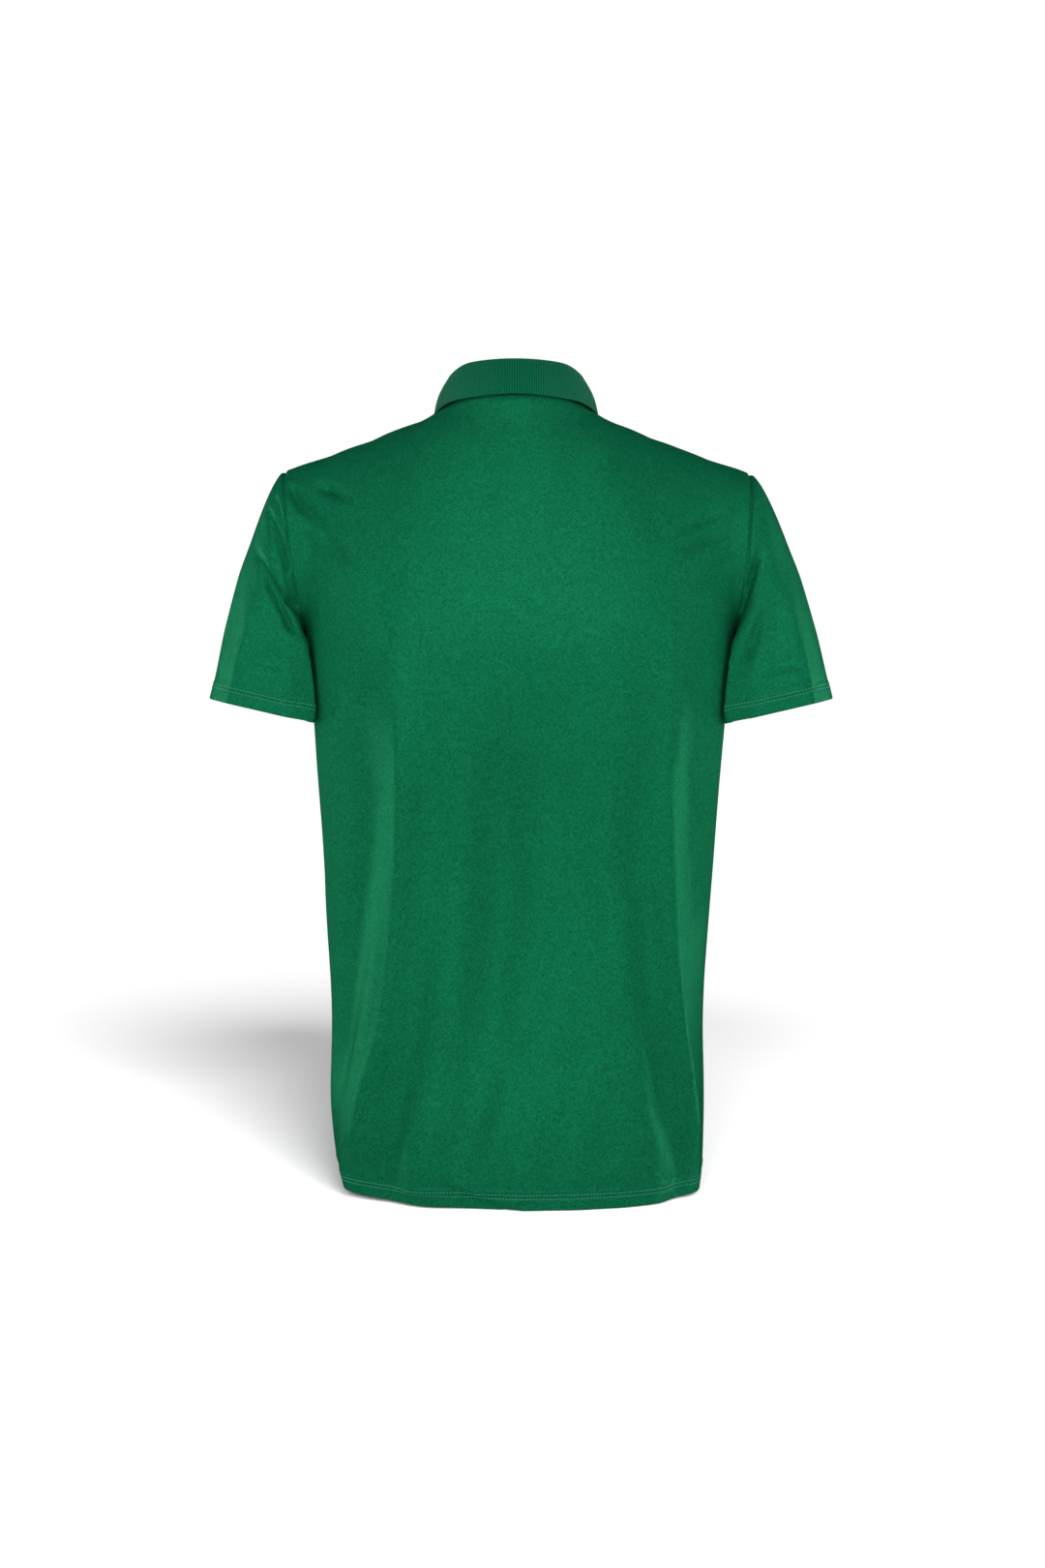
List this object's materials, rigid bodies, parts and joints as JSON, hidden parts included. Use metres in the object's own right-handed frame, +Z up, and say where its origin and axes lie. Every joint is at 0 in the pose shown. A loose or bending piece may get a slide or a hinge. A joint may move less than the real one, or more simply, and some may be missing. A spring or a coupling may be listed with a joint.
{
  "type": "polo shirt",
  "caption": "Short-sleeved knitted polo shirt with a fold-over ribbed collar and a buttoned placket, filled out as worn, open at neck, cuffs and hem.",
  "frame": {"origin": "midway between the two high shoulder points, where the wearer's shoulders carry the shirt", "axes": "+Z up, -Y the way the wearer faces, +X the wearer's left"},
  "size_m": [0.56, 0.2646, 0.7356],
  "materials": {
    "knit": "fine smooth knit in bottle green with a soft sheen",
    "rib": "flat-knit rib in a slightly darker bottle green",
    "button": "polished dyed resin"
  },
  "bodies": {
    "root": {"back_panel": "knit", "front_panel": "knit", "left_sleeve": "knit", "right_sleeve": "knit", "collar": "rib", "placket_under": "knit", "placket_top": "knit", "button_top": "button", "button_middle": "button", "button_bottom": "button"}
  },
  "joints": []
}
